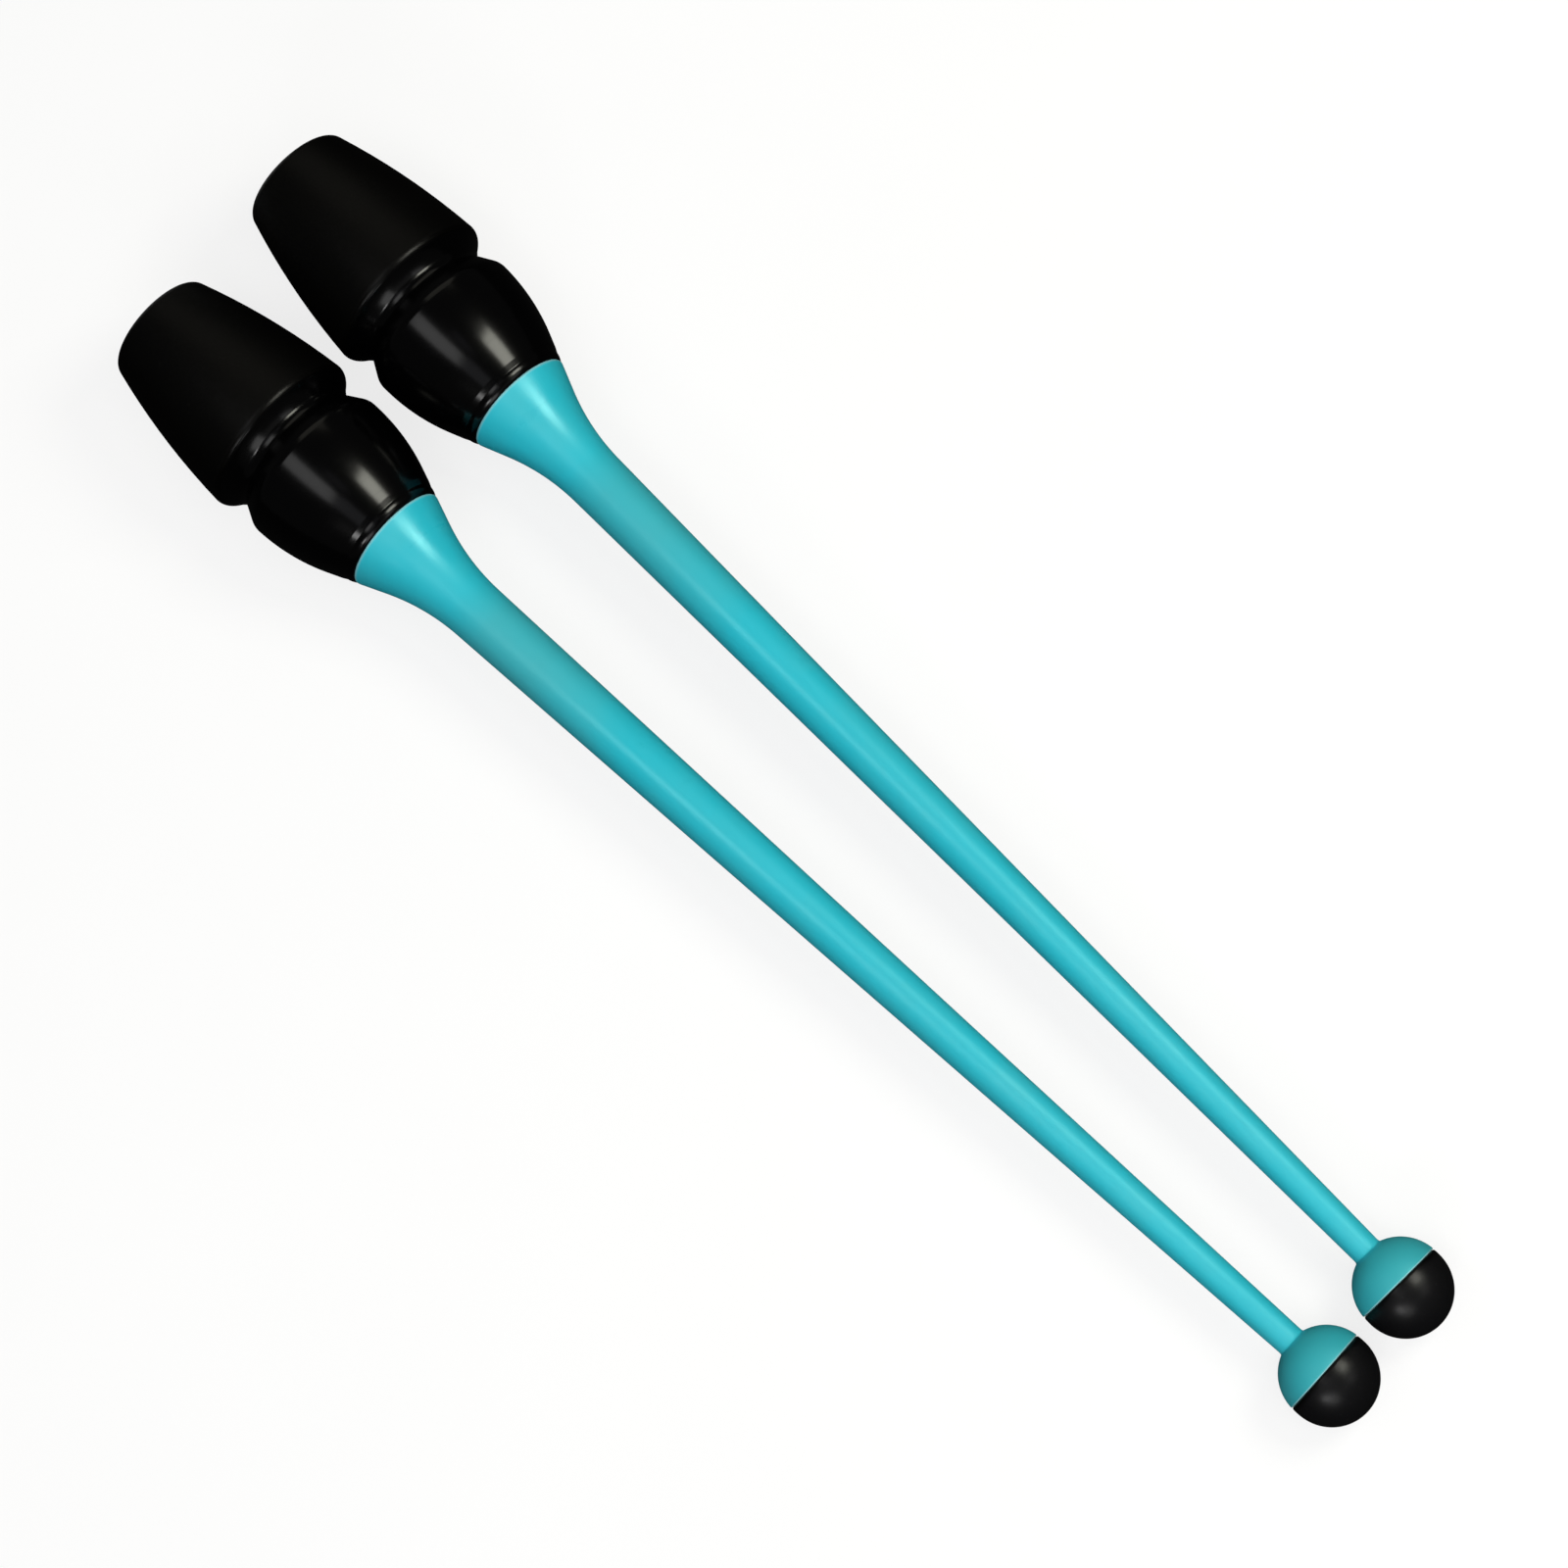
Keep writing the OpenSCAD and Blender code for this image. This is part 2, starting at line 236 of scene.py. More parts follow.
def body_outline(depth):
    """The points from the base's edge to the colour joint."""
    round_r, hollow_r = max(sharpest, shoulder_r - depth), groove_r + depth
    leave, arrive = a_down - wall_bend, a_down + 180 + wall_bend
    wall = bent(
        shoulder_c + round_r * ray(leave),
        ray(leave - 90),
        groove_c + hollow_r * ray(arrive),
        ray(arrive + 90),
    )
    rows = [
        arc(edge_c, max(sharpest, base_edge_r - depth), 180, a_edge),
        arc(crown_c, barrel_crown_r - depth, a_edge, a_shoulder),
        arc(shoulder_c, round_r, a_shoulder, leave),
        wall,
        arc(groove_c, hollow_r, arrive, a_up + 360),
        arc(bulb_back_c, bulb_back_r - depth, a_up + 180, 90),
        arc(bulb_c, bulb_crown_r - depth, 90, 90 - flank_angle),
        [Vector((joint_x, flank_radius(joint_x, depth)))],
    ]
    return [point for row in rows for point in row]


outer, inner = body_outline(0), body_outline(skin)
print(f"outline: {len(outer)} points, and {len(inner)} on the line {skin} mm below it")

# %% Cutting a stretch out of an outline


def stretch(points, start, end):
    """The part of a line between two places along the club, with its cut ends."""
    line = []
    for p, q in zip(points, points[1:]):
        low, high = max(p.x, start), min(q.x, end)
        if low < high:
            line += [p.lerp(q, (cut - p.x) / (q.x - p.x)) for cut in (low, high)]
    return line


groove_floor = stretch(outer, groove_c.x - 1, groove_c.x + 1)
print(f"the groove is {2 * min(point.y for point in groove_floor):.1f} mm across at its floor")

# %% [markdown]
# ## Edges that catch the light
#
# No moulded or ground edge is truly sharp. Each is rounded by a few tenths of a millimetre,
# and that tiny round is what draws a thin bright line at a joint. The helper below takes a
# profile in which some corners carry a radius, and puts a small arc there. A pair of numbers
# makes a lopsided round, with its own reach on each side of the corner. Rounding the profile
# before it is turned is cheaper and cleaner than a bevel on the finished mesh.

# %% Rounding the corners of a profile
round_steps = 5
longest = 0.49  # the share of a side that one rounding may take up
closest = 0.01  # a point that is closer to the one before is dropped


def eased(profile):
    """Profile items are points, or (point, rounding) for a corner that is rounded."""
    corners = [item if isinstance(item, tuple) else (item, 0) for item in profile]
    line = []
    for i, (corner, rounding) in enumerate(corners):
        before = corners[i - 1][0] - corner
        after = corners[(i + 1) % len(corners)][0] - corner
        if not rounding:
            line.append(corner)
            continue
        if isinstance(rounding, tuple):
            reaches = rounding
        else:
            reaches = [rounding / math.tan(before.angle(after) / 2)] * 2
        start, end = (
            corner + min(reach, longest * side.length) * side.normalized()
            for reach, side in zip(reaches, (before, after))
        )
        line += curve(start, corner, end, round_steps)
    return line


def without_doubles(points):
    """Drops points that lie on top of the one before."""
    line = [points[0]]
    for point in points[1:]:
        if (point - line[-1]).length > closest:
            line.append(point)
    return line


print("points on a rounded corner:", round_steps + 1)

# %% [markdown]
# ## Profiles of the turned parts
#
# A profile is the cut face of one part: a closed line on one side of the axis, or one that
# starts and ends on the axis. They follow the CAD parts, with the walls that press against
# each other in the same places. All of them share some places along the club, which add up
# from the socket's mouth to the screw's washer, and from the colour joint back to the hub.

# %% Places that the profiles share
hub_r = joint_r - hub_lip
hub_back_x = joint_x - hub_len
core_front_r = hub_r + fit_gap + core_end_wall
core_front_x = joint_x - (core_front_r - flank_radius(joint_x, skin)) / flank_slope
insert_front_x = hub_back_x + insert_len
rod_end_x = tip_joint_x - rod_end_gap
lip_back_x = mouth_chamfer + lip_len
seated_front_x = lip_back_x + math.sqrt(ball_r**2 - lip_r**2) + ball_band
head_back_x = seated_front_x + ball_r + head_room
washer_back_x = head_back_x + screw_head_h
web_back_x = washer_back_x + washer_t


def at(along, radius, rounding=0):
    """A profile item: a point, or a point with the rounding of its corner."""
    point = Vector((along, radius))
    return (point, rounding) if rounding else point


print(f"washer from {washer_back_x:.2f} to {web_back_x:.2f} mm, hub from {hub_back_x:.2f} mm")

# %% The sleeve
sleeve_ease = 0.35
sleeve_profile = stretch(outer, 0, sleeve_end.x - sleeve_ease / 2)
sleeve_profile += [at(*sleeve_end, sleeve_ease)]
sleeve_profile += stretch(inner, skin, sleeve_end.x)[::-1] + [at(skin, flange_r)]
print("sleeve:", len(sleeve_profile), "items")

# %% [markdown]
# ## The bead
#
# The black skin ends in a low crowned ring, a fifth of a millimetre proud of the shallow
# valley behind it, where the skin closes round the foot of the teal bell. It is too fine
# for the CAD, but the light finds it at once, so it is modelled here and not left to bump.

# %% The bead that finishes the black skin
bead_len, bead_rise, bead_roll, bead_valley = 2.2, 0.18, 0.35, 1.8
valley_steps, bead_steps = 9, 14
valley_len = bead_roll + bead_len + bead_valley  # from where the valley starts to the joint


def flank_point(back, rise):
    """A point that far before the colour joint, and that far above the straight flank."""
    along = joint_x - back
    return Vector((along, flank_radius(along))) + rise * ray(90 - flank_angle)


bead = []
for i in range(1, valley_steps):
    share = i / valley_steps
    bead.append(flank_point(valley_len - share * bead_valley, -bead_rise * share))
for i in range(bead_steps + 1):
    share = 2 * i / bead_steps - 1
    bead.append(flank_point(bead_roll + (1 - share) * bead_len / 2, -bead_rise * share**2))
print(f"bead: {len(bead)} points, up to {bead_rise} mm above its valley")

# %% The bulb
valley_ease, valley_lead, rim_ease = (0.3, 0.2), 0.5, (0.25, 0.5)
bulb_profile = [at(*sleeve_end, sleeve_ease)]
bulb_start_x, bulb_end_x = sleeve_end.x + sleeve_ease / 2, joint_x - valley_len - valley_lead
bulb_profile += stretch(outer, bulb_start_x, bulb_end_x)
bulb_profile += [at(*flank_point(valley_len, 0), valley_ease)] + bead
bulb_profile += [at(joint_x, joint_r - 2 * bead_rise, rim_ease), at(joint_x, hub_r + fit_gap)]
bulb_profile += [at(core_front_x, hub_r + fit_gap)]
bulb_profile += stretch(inner, sleeve_end.x, core_front_x)[::-1]
print("bulb:", len(bulb_profile), "items")

# %% The liner
mouth_ease, lip_ease, lip_back_ease = 0.15, 0.4, 0.3
a_seat = math.degrees(math.asin(seat_hole_d / 2 / socket_r))
liner_profile = [at(0, lip_r + mouth_chamfer, mouth_ease), at(mouth_chamfer, lip_r, lip_ease)]
liner_profile += [at(lip_back_x, lip_r, lip_back_ease)]
liner_profile += [at(lip_back_x + socket_r - lip_r, socket_r)]
liner_profile += arc(at(seated_front_x, 0), socket_r, 90, a_seat)
liner_profile += [at(web_back_x, seat_hole_d / 2), at(web_back_x, liner_r), at(skin, liner_r)]
liner_profile += [at(skin, flange_r), at(0, flange_r)]
print("liner:", len(liner_profile), "items")

# %% The neck
teal_ease, hub_ease, spigot_ease, neck_fillet, spare = 0.6, 0.5, 0.4, 1.2, 2
insert_bore_r, rod_bore_r = insert_d / 2 + fit_gap, rod_d / 2 + fit_gap
a_neck_end = 180 - math.degrees(math.asin(neck_end.y / ball_r))
spigot_end_x = tip_joint_x + spigot_len
neck_profile = [at(rod_end_x, 0), at(rod_end_x, rod_bore_r), at(insert_front_x, rod_bore_r)]
neck_profile += [at(insert_front_x, insert_bore_r), at(hub_back_x, insert_bore_r)]
neck_profile += [at(hub_back_x, hub_r, hub_ease), at(joint_x, hub_r)]
neck_profile += [at(joint_x, joint_r, teal_ease)]
neck_profile += arc(bell_c, bell_r, 270 - flank_angle, 270 - neck_taper)
neck_profile += [at(*neck_end, neck_fillet)]
# the ball's arc leaves out a few points at each end, where the roundings need the room
neck_profile += arc(ball_back, ball_r, a_neck_end, a_tip_joint)[spare:-spare]
neck_profile += [at(tip_joint_x, tip_joint_r, teal_ease), at(tip_joint_x, spigot_d / 2)]
neck_profile += [at(spigot_end_x, spigot_d / 2, spigot_ease), at(spigot_end_x, 0)]
print("neck:", len(neck_profile), "items")

# %% The tip
tip_ease, tip_roll = (0.9, 0.8), 1.7  # the ball's own curve starts a roll past the joint
tip_bore_r = spigot_d / 2 + fit_gap
tip_profile = [at(spigot_end_x, 0), at(spigot_end_x, tip_bore_r), at(tip_joint_x, tip_bore_r)]
tip_profile += [at(tip_joint_x, tip_joint_r, tip_ease)]
ball = arc(ball_back, ball_r, a_tip_joint, 90) + arc(ball_front, ball_r, 90, 0)
tip_profile += stretch(ball, tip_joint_x + tip_roll, overall_len)
print("tip:", len(tip_profile), "items")

# %% The screw
key_r, key_mouth, key_tip = key_d / 2, 0.15, 0.3
head_r, head_ease, head_chamfer, under_chamfer = screw_head_d / 2, 0.45, 0.3, 0.15
rim_from, ridge_from, ridge_to = 0.6, 0.8, 0.5
shank_short, shank_ease = 1, 0.5
ridge_start_x, ridge_end_x = head_back_x + ridge_from, washer_back_x - ridge_to
screw_end_x = insert_front_x - shank_short
screw_profile = [at(head_back_x + key_depth + key_tip, 0), at(head_back_x + key_depth, key_r)]
screw_profile += [at(head_back_x + key_mouth, key_r), at(head_back_x, key_r + key_mouth)]
screw_profile += [at(head_back_x, head_r, head_ease), at(head_back_x + rim_from, head_r)]
screw_profile += [at(ridge_start_x, head_r), at(ridge_end_x, head_r)]
screw_profile += [at(washer_back_x - head_chamfer, head_r)]
screw_profile += [at(washer_back_x, head_r - under_chamfer), at(washer_back_x, screw_d / 2)]
screw_profile += [at(screw_end_x, screw_d / 2, shank_ease), at(screw_end_x, 0)]
print(f"screw: {len(screw_profile)} items, {screw_end_x - head_back_x:.1f} mm long")

# %% The washer
washer_hole_r, washer_r, outer_ease, inner_ease = screw_d / 2 + fit_gap, washer_d / 2, 0.3, 0.1
washer_profile = [at(washer_back_x, washer_hole_r, inner_ease)]
washer_profile += [at(washer_back_x, washer_r, outer_ease), at(web_back_x, washer_r, inner_ease)]
washer_profile += [at(web_back_x, washer_hole_r)]
print("washer:", len(washer_profile), "items")

# %% [markdown]
# ## A lathe made of nodes
#
# All seven parts are turned shapes, so one Geometry Nodes tree makes them all. It is given
# the profile as a bare line of points. Screw or Spin would do this too, but a tree keeps the
# rule in the open: a grid has one row for each point of the profile and one column for each
# step round the axis, and every grid point looks up its profile point and swings it round by
# its own angle. Merge by Distance then closes the seam and the poles.
#
# The tree also keeps on each point how far along the club it lies, because joints, worn
# edges and handled stretches in the finishes follow that.

# %% The tree and its inputs
lathe = bpy.data.node_groups.new("Lathe", "GeometryNodeTree")
for name, kind in (("Profile", "Geometry"), ("Steps round", "Int"), ("Finish", "Material")):
    lathe.interface.new_socket(name, in_out="INPUT", socket_type="NodeSocket" + kind)
lathe.interface.new_socket("Turned", in_out="OUTPUT", socket_type="NodeSocketGeometry")
identifiers = {socket.name: socket.identifier for socket in lathe.interface.items_tree}
print("sockets of the lathe:", identifiers)

# %% A grid with a row for each profile point


def add(kind, settings=None, sockets=None):
    """One node of the lathe: its settings first, then values or links for its inputs."""
    node = lathe.nodes.new(kind)
    for name, value in (settings or {}).items():
        setattr(node, name, value)
    for key, value in (sockets or {}).items():
        if isinstance(value, bpy.types.NodeSocket):
            lathe.links.new(value, node.inputs[key])
        else:
            node.inputs[key].default_value = value
    return node


def maths(operation, a, b):
    return add("ShaderNodeMath", {"operation": operation}, {0: a, 1: b}).outputs[0]


given = add("NodeGroupInput").outputs
size = add("GeometryNodeAttributeDomainSize", {"component": "MESH"}, {0: given["Profile"]})
columns = maths("ADD", given["Steps round"], 1)
sockets = {"Vertices X": size.outputs["Point Count"], "Vertices Y": columns}
grid = add("GeometryNodeMeshGrid", None, sockets).outputs["Mesh"]
print("nodes for the grid:", len(lathe.nodes))

# %% The row and the angle of each grid point
index = add("GeometryNodeInputIndex").outputs[0]
row = maths("FLOOR", maths("DIVIDE", maths("ADD", index, 0.5), columns), 0)
column = maths("SUBTRACT", index, maths("MULTIPLY", row, columns))
angle = maths("MULTIPLY", maths("DIVIDE", column, given["Steps round"]), 2 * math.pi)
print("nodes with rows and angles:", len(lathe.nodes))

# %% The profile point of its row, swung round the axis
here = add("GeometryNodeInputPosition").outputs[0]
settings = {"data_type": "FLOAT_VECTOR", "domain": "POINT"}
sockets = {"Geometry": given["Profile"], "Value": here, "Index": row}
drawn = add("GeometryNodeSampleIndex", settings, sockets).outputs["Value"]
sockets = {"Vector": drawn, "Angle": angle}
swung = add("ShaderNodeVectorRotate", {"rotation_type": "Z_AXIS"}, sockets).outputs[0]
print("nodes with the swing:", len(lathe.nodes))

# %% The surface that is handed out
weld = 0.002  # points closer than this, in millimetres, become one
along = add("ShaderNodeSeparateXYZ", None, {0: drawn}).outputs["Z"]
settings = {"data_type": "FLOAT", "domain": "POINT"}
sockets = {"Geometry": grid, "Name": "along", "Value": along}
surface = add("GeometryNodeStoreNamedAttribute", settings, sockets).outputs[0]
sockets = {"Geometry": surface, "Position": swung}
surface = add("GeometryNodeSetPosition", None, sockets).outputs[0]
sockets = {"Geometry": surface, "Distance": weld}
surface = add("GeometryNodeMergeByDistance", None, sockets).outputs[0]
for kind in ("GeometryNodeSetShadeSmooth", "GeometryNodeRealizeInstances"):
    surface = add(kind, None, {"Geometry": surface}).outputs[0]
sockets = {"Geometry": surface, "Material": given["Finish"]}
surface = add("GeometryNodeSetMaterial", None, sockets).outputs[0]
add("NodeGroupOutput", None, {"Turned": surface})
print("nodes in all:", len(lathe.nodes))

# %% [markdown]
# ## From a profile to a finished part
#
# The tree runs once on each profile. Its result is taken as a plain mesh, its faces are
# turned outwards, and corners sharper than 40 degrees keep a crisp shade. Then the mesh is
# laid where its club lies, hung on the body that it rides on, and named after the CAD part
# that it stands for, which is hidden.

# %% Turning a part
steps_round = 192


def turned(name, profile, finish, steps=steps_round):
    """A mesh in club millimetres. A profile that starts off the axis is closed into a ring."""
    line = without_doubles(eased(profile))
    if line[0].y > 0:
        line.append(line[0])
    source = bpy.data.meshes.new(name + " profile")
    edges = [(i, i + 1) for i in range(len(line) - 1)]
    source.from_pydata([(p.y, 0, p.x) for p in line], edges, [])
    blank = bpy.data.objects.new(name + " blank", source)
    bpy.context.scene.collection.objects.link(blank)
    modifier = blank.modifiers.new("Lathe", "NODES")
    modifier.node_group = lathe
    modifier[identifiers["Steps round"]] = steps
    modifier[identifiers["Finish"]] = finish
    bpy.context.view_layer.update()
    ready = blank.evaluated_get(bpy.context.evaluated_depsgraph_get())
    mesh = bpy.data.meshes.new_from_object(ready)
    bpy.data.objects.remove(blank)
    bpy.data.meshes.remove(source)
    return mesh


print(f"a part has {steps_round} steps round, one every {360 / steps_round:.2f} degrees")

# %% Laying a part where its club lies
crisp = 40  # degrees between two faces from which their edge is shaded as a corner


def face_outwards(mesh):
    """Closes what still lies open by a hair, turns the faces outwards and marks crisp edges."""
    shape = bmesh.new()
    shape.from_mesh(mesh)
    bmesh.ops.remove_doubles(shape, verts=shape.verts, dist=weld)
    bmesh.ops.recalc_face_normals(shape, faces=shape.faces)
    for edge in shape.edges:
        edge.smooth = edge.is_manifold and edge.calc_face_angle(0) < math.radians(crisp)
    loose = sum(not edge.is_manifold for edge in shape.edges)
    shape.to_mesh(mesh)
    shape.free()
    return loose


def dress(node, letter, mesh):
    """Lays a mesh where a club lies, as the piece that stands for a CAD node."""
    loose = face_outwards(mesh)
    mesh.transform(places[letter])
    mesh.name = "turned_" + node
    piece = bpy.data.objects.new(mesh.name, mesh)
    bpy.context.scene.collection.objects.link(piece)
    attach(piece, bodies[letter])
    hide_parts(node)
    print(f"{piece.name}: {len(mesh.polygons)} faces, {loose} open edges")


print(f"edges are crisp from {crisp} degrees")

# %% [markdown]
# ## The head of the screw
#
# A look into the socket from behind shows the head of the screw that holds the club
# together, on its washer. A six-sided key fits its recess, and fine ridges run round its
# rim. The lathe makes the head round. Then each point of the recess and of the rim moves
# inwards by a share that depends only on its angle: the distance to the side of a hexagon
# for the recess, and a cosine wave for the ridges.

# %% Hexagon and ridges
ridge_count, ridge_steps, ridge_depth = 48, 6, 0.12
slack = 0.01  # how closely a point has to lie on a row of the profile


def keyed(mesh):
    """Gives a turned screw its six-sided recess and the ridges round its head."""
    for vertex in mesh.vertices:
        across, up, along = vertex.co
        radius, angle = math.hypot(across, up), math.degrees(math.atan2(up, across))
        is_ridge = ridge_start_x - slack < along < ridge_end_x + slack
        if radius < key_r + key_mouth + slack and along < head_back_x + key_depth + slack:
            share = math.cos(math.radians(30)) / math.cos(math.radians(angle % 60 - 30))
        elif is_ridge and radius > head_r - slack:
            wave = math.cos(math.radians(ridge_count * angle))
            share = 1 - ridge_depth / screw_head_d * (1 - wave)
        else:
            continue
        vertex.co.x, vertex.co.y = share * across, share * up


print(f"{ridge_count} ridges, {ridge_depth} mm deep, {ridge_steps} steps to each")

# %% [markdown]
# ## A notation for finishes
#
# A finish is a tree of shader nodes. Sums and products are much easier to read as Python, so
# a Wire wraps one output and adds a Math node for each operator. Every other node comes from
# one method, which takes the node's type, its settings and what goes into its sockets.

# %% A wire


class Wire:
    """A number or colour on its way from one shader node to the next."""

    def __init__(self, nodes, socket):
        self.nodes, self.socket = nodes, socket

    def maths(self, operation, a, b):
        return self.nodes.node("ShaderNodeMath", {"operation": operation}, {0: a, 1: b})

    def __add__(self, other):
        return self.maths("ADD", self, other)

    def __sub__(self, other):
        return self.maths("SUBTRACT", self, other)

    def __rsub__(self, other):
        return self.maths("SUBTRACT", other, self)

    def __mul__(self, other):
        return self.maths("MULTIPLY", self, other)

    __radd__ = __add__
    __rmul__ = __mul__


# %% A tree of shader nodes


class Nodes:
    """A tree of shader nodes, empty at first."""

    def __init__(self, tree):
        self.tree = tree
        tree.nodes.clear()

    def plug(self, socket, value):
        if isinstance(value, Wire):
            self.tree.links.new(value.socket, socket)
        else:
            socket.default_value = value

    def node(self, kind, settings=None, sockets=None, out=0):
        """A wire from one output of a new node, which gets its settings first."""
        node = self.tree.nodes.new(kind)
        for name, value in (settings or {}).items():
            if name == "stops":
                ramp = node.color_ramp
                while len(ramp.elements) < len(value):
                    ramp.elements.new(0.5)
                for element, (place, level) in zip(ramp.elements, value):
                    element.position, element.color = place, (level, level, level, 1)
            else:
                setattr(node, name, value)
        for key, value in (sockets or {}).items():
            self.plug(node.inputs[key], value)
        return Wire(self, node.outputs[out]) if node.outputs else None


def colour(red, green, blue):
    return (red, green, blue, 1.0)


def darker(shade, share):
    """That share of a colour's light."""
    return colour(*(share * level for level in shade[:3]))


# %% [markdown]
# ## What all finishes share
#
# Each finish is one Principled shader. What is the same all over goes straight onto its
# sockets. What changes over the surface comes from noise on the piece's own coordinates,
# which stays on the piece when it moves, and from the distance along the club that the lathe
# kept. It feeds only colour, roughness and the normal, where bump makes a relief of three
# hundredths of a millimetre at most.

# %% Patterns on a piece


class Patterns(Nodes):
    """Shader nodes that make what changes over a surface."""

    def place(self):
        return self.node("ShaderNodeTexCoord", out="Object")

    def along(self):
        """How far along the club a point lies, in millimetres, as the lathe kept it."""
        return self.node("ShaderNodeAttribute", {"attribute_name": "along"}, out="Fac")

    def noise(self, size, detail=2.0, rough=0.5, seed=0.0):
        """Cloudy noise from 0 to 1, whose lumps are about that many millimetres across."""
        sockets = {"Vector": self.place(), "W": seed, "Scale": 1 / (size * MM)}
        sockets.update({"Detail": detail, "Roughness": rough})
        return self.node("ShaderNodeTexNoise", {"noise_dimensions": "4D"}, sockets)

    def hairlines(self, *fineness):
        """Noise from 0 to 1, with that many lumps to the metre along X, Y and Z."""
        fine = self.node("ShaderNodeMapping", None, {"Vector": self.place(), "Scale": fineness})
        sockets = {"Vector": fine, "Scale": 1.0, "Detail": 2.0}
        return self.node("ShaderNodeTexNoise", None, sockets)

    def rise(self, wire, low, high):
        """0 below the first value, 1 above the second one, even in between."""
        return self.node("ShaderNodeMapRange", None, {0: wire, 1: low, 2: high})

    def ramp(self, wire, *stops):
        """The grey levels that the stops, each a place and a level, give along a wire."""
        return self.node("ShaderNodeValToRGB", {"stops": stops}, {0: wire})

    def tint(self, share, a, b):
        """Colour a where share is 0, colour b where it is 1."""
        sockets = {0: share, 6: a, 7: b}
        return self.node("ShaderNodeMix", {"data_type": "RGBA"}, sockets, out=2)

    def bump(self, height, depth, under=None):
        """Relief that is that many millimetres deep, on top of another one."""
        sockets = {"Height": height, "Distance": depth * MM, "Strength": 1.0}
        if under:
            sockets["Normal"] = under
        return self.node("ShaderNodeBump", None, sockets)


# %% A finish
finishes = {}


class Finish(Patterns):
    """A material. Values that are the same all over go straight onto the shader's sockets."""

    def __init__(self, name, **shader):
        self.name = name
        self.material = bpy.data.materials.new(name)
        self.material.use_nodes = True
        super().__init__(self.material.node_tree)
        self.shader = self.tree.nodes.new("ShaderNodeBsdfPrincipled")
        self.end = self.tree.nodes.new("ShaderNodeOutputMaterial")
        self.surface(Wire(self, self.shader.outputs[0]))
        self.feed(**shader)

    def surface(self, wire):
        self.plug(self.end.inputs["Surface"], wire)

    def feed(self, **inputs):
        """Sets or links inputs of the shader, by their names in small letters."""
        for key, value in inputs.items():
            name = key.replace("_", " ").title().replace("Ior", "IOR")
            self.plug(self.shader.inputs[name], value)

    def keep(self):
        """Puts the finished material with the others."""
        finishes[self.name] = self.material
        print(f"{self.name}: {len(self.tree.nodes)} nodes")


# %% [markdown]
# ## Teal plastic
#
# The neck is one injection-moulded piece of tough, slightly soft plastic, coloured all
# through. Its skin copies a finely blasted mould: satin, with a soft broad highlight, a
# faint orange peel a few millimetres across, and grain far too fine to see one by one.
# Handling leaves patches that are slightly shinier and a little paler. Otherwise the colour
# hardly varies, so two close teals are enough for it. The middle of the bell is the shiniest
# part. Past it, the neck has rubbed against other things in the bag and gone dull and a
# little grey, and hands hold it near the ball, so it grows duller that way. The ball's teal
# half is painted darker and a little less blue: the darkness is painted shade, where that
# half faces away from the lamps. At its two joints the edge of the plastic is painted pale
# over half a millimetre, a painted highlight for the light line that its rounded edge
# catches, and next to the black skin it is duller as well. The distance along the club that
# the lathe kept says where all that is.

# %% Teal finish
deep_teal, light_teal = colour(0.021, 0.54, 0.665), colour(0.029, 0.575, 0.715)
handled_teal, greyed_teal = colour(0.06, 0.55, 0.64), colour(0.07, 0.43, 0.47)
# the ball's teal is a painted shade of the neck's teal, and the pale edge colour is a painted
# highlight
shaded_ball_teal, painted_edge_highlight = colour(0.036, 0.437, 0.505), colour(0.45, 0.75, 0.78)
dull_start, grey_start, grey_end = 102, 120, 184  # the stretch that the bag has rubbed
dull_rise, grey_rise, rub_fade = 14, 12, 34  # over how many millimetres it comes and goes
hold_start = 180  # from here to the ball hands hold the neck, ever more


def teal_plastic():
    gloss = {"specular_ior_level": 0.75, "specular_tint": colour(0.55, 1.0, 1.0)}
    finish = Finish("teal_plastic", ior=1.5, **gloss)
    along = finish.along()
    # painted highlight: the pale line at each joint stands for the light that the rounded teal
    # edge catches
    edge_highlight = 1 - finish.rise(along, joint_x + 0.4, joint_x + 1.0)
    edge_highlight += finish.rise(along, tip_joint_x - 0.5, tip_joint_x - 0.2)
    cloud = finish.noise(38, detail=3)
    smear = finish.ramp(finish.noise(14, detail=4, seed=3.0), (0.45, 0.0), (0.75, 1.0))
    peel = finish.noise(2.4, detail=1, seed=5.0)
    grain = finish.noise(0.12, detail=1, seed=7.0)
    shade = finish.tint(cloud, deep_teal, light_teal)
    shade = finish.tint(0.4 * smear, shade, handled_teal)
    in_bag = 1 - finish.rise(along, grey_end - rub_fade, grey_end)
    greyed = finish.rise(along, grey_start, grey_start + grey_rise) * in_bag
    dulled = finish.rise(along, dull_start, dull_start + dull_rise) * in_bag
    shade = finish.tint(0.5 * greyed * (0.5 + cloud), shade, greyed_teal)
    # painted shade: the ball's teal half is darker, where it faces away from the lamps
    shade = finish.tint(finish.rise(along, neck_end.x, neck_end.x + 1), shade, shaded_ball_teal)
    # painted highlight, mixed into the colour at both joints
    shade = finish.tint(0.6 * edge_highlight, shade, painted_edge_highlight)
    relief = finish.bump(grain, 0.006, finish.bump(peel, 0.006))
    dulled += 0.6 - 0.6 * finish.rise(along, joint_x + 2, joint_x + 9)
    held = finish.rise(along, hold_start, neck_end.x)
    rough = 0.26 + 0.25 * held + 0.16 * dulled + 0.05 * grain - 0.05 * smear
    finish.feed(base_color=shade, roughness=rough, normal=relief)
    finish.keep()


teal_plastic()

